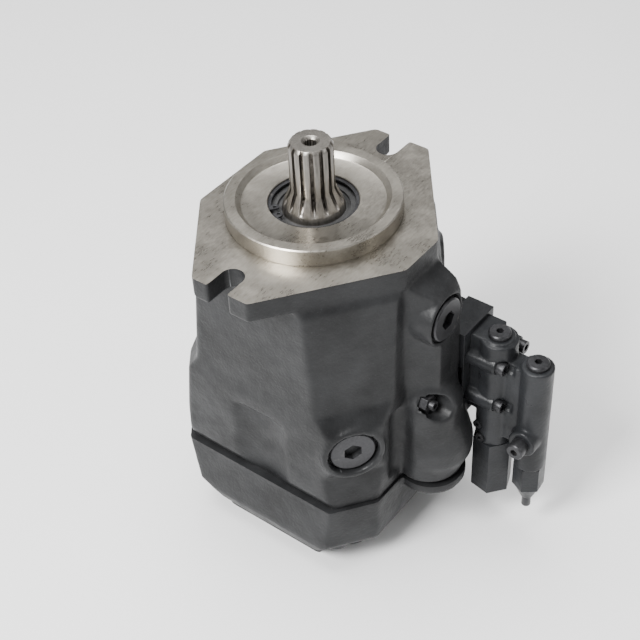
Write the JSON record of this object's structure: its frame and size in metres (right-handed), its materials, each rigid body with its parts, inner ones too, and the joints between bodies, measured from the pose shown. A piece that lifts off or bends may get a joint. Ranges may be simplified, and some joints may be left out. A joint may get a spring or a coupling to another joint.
{
  "type": "axial piston pump",
  "caption": "Variable-displacement axial piston pump: two-bolt flange, splined shaft, tilting swashplate, rotating barrel and pistons, side-mounted two-spool control valve.",
  "frame": {"origin": "centre of the locating pilot in the plane of the mounting face", "axes": "+Z along the drive shaft towards its splined end, +X along the line of the two mounting slots, -Y towards the control valve"},
  "size_m": [0.213, 0.2716, 0.333],
  "materials": {
    "cast_housing": "satin black-grey paint over sand casting",
    "machined_casting": "machined cast iron",
    "bare_steel": "ground steel",
    "bearing_steel": "polished bearing steel",
    "spring_steel": "oiled spring steel",
    "black_oxide": "black-oxide steel",
    "dark_paint": "satin dark grey paint over casting",
    "bronze": "bearing bronze",
    "rubber": "matte nitrile rubber"
  },
  "bodies": {
    "case": {"housing": "cast_housing", "port_plate": "cast_housing", "housing_seal": "rubber", "port_plate_bolts": "black_oxide", "shaft_seal": "rubber", "seal_retaining_ring": "black_oxide", "front_bearing_cup": "bearing_steel", "rear_bearing_cup": "bearing_steel", "cradle_bearing_shells": "bronze", "valve_plate": "bronze", "corner_plug": "black_oxide", "side_plug": "black_oxide", "stop_screw": "black_oxide", "stop_nut": "black_oxide", "valve_block": "dark_paint", "valve_body": "dark_paint", "valve_screws": "black_oxide", "valve_top_plugs": "black_oxide", "flow_spring_cap": "dark_paint", "pressure_spring_cap": "dark_paint", "orifice_plugs": "black_oxide", "port_x_plug": "black_oxide", "bias_spring": "spring_steel", "pressure_spring": "spring_steel", "flow_spring": "spring_steel"},
    "shaft": {"drive_shaft": "bare_steel", "front_bearing_cone": "bearing_steel", "rear_bearing_cone": "bearing_steel", "cylinder_barrel": "machined_casting", "barrel_spring": "spring_steel", "retaining_ball": "bearing_steel"},
    "front_roller_set": {"front_bearing_rollers": "bearing_steel"},
    "rear_roller_set": {"rear_bearing_rollers": "bearing_steel"},
    "swash": {"swashplate": "machined_casting"},
    "retainer": {"retaining_plate": "bare_steel"},
    "control_ram": {"control_piston": "bare_steel"},
    "bias_ram": {"bias_piston": "bare_steel"},
    "pressure_spool_body": {"pressure_spool": "bare_steel"},
    "flow_spool_body": {"flow_spool": "bare_steel"},
    "spring_seat": {"pressure_spring_seat": "bare_steel"},
    "adjuster": {"adjusting_screw": "black_oxide"},
    "piston_body_1": {"piston_1": "bare_steel"},
    "slipper_body_1": {"slipper_1": "bronze"},
    "piston_body_2": {"piston_2": "bare_steel"},
    "slipper_body_2": {"slipper_2": "bronze"},
    "piston_body_3": {"piston_3": "bare_steel"},
    "slipper_body_3": {"slipper_3": "bronze"},
    "piston_body_4": {"piston_4": "bare_steel"},
    "slipper_body_4": {"slipper_4": "bronze"},
    "piston_body_5": {"piston_5": "bare_steel"},
    "slipper_body_5": {"slipper_5": "bronze"},
    "piston_body_6": {"piston_6": "bare_steel"},
    "slipper_body_6": {"slipper_6": "bronze"},
    "piston_body_7": {"piston_7": "bare_steel"},
    "slipper_body_7": {"slipper_7": "bronze"},
    "piston_body_8": {"piston_8": "bare_steel"},
    "slipper_body_8": {"slipper_8": "bronze"},
    "piston_body_9": {"piston_9": "bare_steel"},
    "slipper_body_9": {"slipper_9": "bronze"}
  },
  "joints": [
    {"name": "shaft_spin", "type": "hinge", "parent": "case", "child": "shaft", "pos_m": [0, 0, 0], "axis": [0, 0, 1], "range_deg": [-360, 360]},
    {"name": "front_rollers_spin", "type": "hinge", "parent": "case", "child": "front_roller_set", "pos_m": [0, 0, 0], "axis": [0, 0, 1], "range_deg": [-160, 160]},
    {"name": "rear_rollers_spin", "type": "hinge", "parent": "case", "child": "rear_roller_set", "pos_m": [0, 0, 0], "axis": [0, 0, 1], "range_deg": [-153, 153]},
    {"name": "swash_tilt", "type": "hinge", "parent": "case", "child": "swash", "pos_m": [0, 0, -0.078], "axis": [1, 0, 0], "range_deg": [0, 17.2]},
    {"name": "retainer_tilt", "type": "hinge", "parent": "shaft", "child": "retainer", "pos_m": [0, 0, -0.078], "axis": [1, 0, 0], "range_deg": [0, 17.2]},
    {"name": "control_piston_slide", "type": "slide", "parent": "case", "child": "control_ram", "axis": [0, 0, 1], "range_m": [-0.02514, 0]},
    {"name": "bias_piston_slide", "type": "slide", "parent": "case", "child": "bias_ram", "axis": [0, 0, 1], "range_m": [0, 0.019], "deforming": ["bias_spring"]},
    {"name": "pressure_spool_slide", "type": "slide", "parent": "case", "child": "pressure_spool_body", "axis": [0, 0, 1], "range_m": [-0.003, 0], "stiffness_N_per_m": 5000, "springref_m": 0.004, "deforming": ["pressure_spring"]},
    {"name": "flow_spool_slide", "type": "slide", "parent": "case", "child": "flow_spool_body", "axis": [0, 0, 1], "range_m": [-0.003, 0], "stiffness_N_per_m": 3000, "springref_m": 0.004, "deforming": ["flow_spring"]},
    {"name": "spring_seat_slide", "type": "slide", "parent": "case", "child": "spring_seat", "axis": [0, 0, 1], "range_m": [-0.001, 0.001], "deforming": ["pressure_spring"]},
    {"name": "adjuster_turn", "type": "hinge", "parent": "spring_seat", "child": "adjuster", "pos_m": [0.042, -0.1641, -0.23], "axis": [0, 0, 1], "range_deg": [-364, 364]},
    {"name": "piston_slide_1", "type": "slide", "parent": "shaft", "child": "piston_body_1", "axis": [0, 0, 1], "range_m": [0, 0.01243]},
    {"name": "slipper_tilt_1", "type": "hinge", "parent": "piston_body_1", "child": "slipper_body_1", "pos_m": [0, 0.04, -0.078], "axis": [1, 0, 0], "range_deg": [0, 17.2]},
    {"name": "piston_slide_2", "type": "slide", "parent": "shaft", "child": "piston_body_2", "axis": [0, 0, 1], "range_m": [0, 0.00957]},
    {"name": "slipper_tilt_2", "type": "hinge", "parent": "piston_body_2", "child": "slipper_body_2", "pos_m": [-0.02571, 0.03064, -0.078], "axis": [1, 0, 0], "range_deg": [0, 17.2]},
    {"name": "piston_slide_3", "type": "slide", "parent": "shaft", "child": "piston_body_3", "axis": [0, 0, 1], "range_m": [0, 0.00232]},
    {"name": "slipper_tilt_3", "type": "hinge", "parent": "piston_body_3", "child": "slipper_body_3", "pos_m": [-0.03939, 0.00695, -0.078], "axis": [1, 0, 0], "range_deg": [0, 17.2]},
    {"name": "piston_slide_4", "type": "slide", "parent": "shaft", "child": "piston_body_4", "axis": [0, 0, 1], "range_m": [-0.00632, 0]},
    {"name": "slipper_tilt_4", "type": "hinge", "parent": "piston_body_4", "child": "slipper_body_4", "pos_m": [-0.03464, -0.02, -0.078], "axis": [1, 0, 0], "range_deg": [0, 17.2]},
    {"name": "piston_slide_5", "type": "slide", "parent": "shaft", "child": "piston_body_5", "axis": [0, 0, 1], "range_m": [-0.01169, 0]},
    {"name": "slipper_tilt_5", "type": "hinge", "parent": "piston_body_5", "child": "slipper_body_5", "pos_m": [-0.01368, -0.03759, -0.078], "axis": [1, 0, 0], "range_deg": [0, 17.2]},
    {"name": "piston_slide_6", "type": "slide", "parent": "shaft", "child": "piston_body_6", "axis": [0, 0, 1], "range_m": [-0.01169, 0]},
    {"name": "slipper_tilt_6", "type": "hinge", "parent": "piston_body_6", "child": "slipper_body_6", "pos_m": [0.01368, -0.03759, -0.078], "axis": [1, 0, 0], "range_deg": [0, 17.2]},
    {"name": "piston_slide_7", "type": "slide", "parent": "shaft", "child": "piston_body_7", "axis": [0, 0, 1], "range_m": [-0.00632, 0]},
    {"name": "slipper_tilt_7", "type": "hinge", "parent": "piston_body_7", "child": "slipper_body_7", "pos_m": [0.03464, -0.02, -0.078], "axis": [1, 0, 0], "range_deg": [0, 17.2]},
    {"name": "piston_slide_8", "type": "slide", "parent": "shaft", "child": "piston_body_8", "axis": [0, 0, 1], "range_m": [0, 0.00232]},
    {"name": "slipper_tilt_8", "type": "hinge", "parent": "piston_body_8", "child": "slipper_body_8", "pos_m": [0.03939, 0.00695, -0.078], "axis": [1, 0, 0], "range_deg": [0, 17.2]},
    {"name": "piston_slide_9", "type": "slide", "parent": "shaft", "child": "piston_body_9", "axis": [0, 0, 1], "range_m": [0, 0.00957]},
    {"name": "slipper_tilt_9", "type": "hinge", "parent": "piston_body_9", "child": "slipper_body_9", "pos_m": [0.02571, 0.03064, -0.078], "axis": [1, 0, 0], "range_deg": [0, 17.2]}
  ],
  "couplings": [
    {"joint": "front_rollers_spin", "follows": "shaft_spin", "ratio": 0.44},
    {"joint": "rear_rollers_spin", "follows": "shaft_spin", "ratio": 0.42},
    {"joint": "retainer_tilt", "follows": "control_piston_slide", "rad_per_m": -11.8},
    {"joint": "swash_tilt", "follows": "control_piston_slide", "rad_per_m": -11.8},
    {"joint": "bias_piston_slide", "follows": "control_piston_slide", "ratio": -0.74418},
    {"joint": "adjuster_turn", "follows": "spring_seat_slide", "rad_per_m": 6283.2},
    {"joint": "piston_slide_1", "follows": "control_piston_slide", "ratio": -0.48637},
    {"joint": "slipper_tilt_1", "follows": "control_piston_slide", "rad_per_m": -11.8},
    {"joint": "piston_slide_2", "follows": "control_piston_slide", "ratio": -0.37258},
    {"joint": "slipper_tilt_2", "follows": "control_piston_slide", "rad_per_m": -11.8},
    {"joint": "piston_slide_3", "follows": "control_piston_slide", "ratio": -0.084457},
    {"joint": "slipper_tilt_3", "follows": "control_piston_slide", "rad_per_m": -11.8},
    {"joint": "piston_slide_4", "follows": "control_piston_slide", "ratio": 0.24318},
    {"joint": "slipper_tilt_4", "follows": "control_piston_slide", "rad_per_m": -11.8},
    {"joint": "piston_slide_5", "follows": "control_piston_slide", "ratio": 0.45704},
    {"joint": "slipper_tilt_5", "follows": "control_piston_slide", "rad_per_m": -11.8},
    {"joint": "piston_slide_6", "follows": "control_piston_slide", "ratio": 0.45704},
    {"joint": "slipper_tilt_6", "follows": "control_piston_slide", "rad_per_m": -11.8},
    {"joint": "piston_slide_7", "follows": "control_piston_slide", "ratio": 0.24318},
    {"joint": "slipper_tilt_7", "follows": "control_piston_slide", "rad_per_m": -11.8},
    {"joint": "piston_slide_8", "follows": "control_piston_slide", "ratio": -0.084457},
    {"joint": "slipper_tilt_8", "follows": "control_piston_slide", "rad_per_m": -11.8},
    {"joint": "piston_slide_9", "follows": "control_piston_slide", "ratio": -0.37258},
    {"joint": "slipper_tilt_9", "follows": "control_piston_slide", "rad_per_m": -11.8}
  ]
}
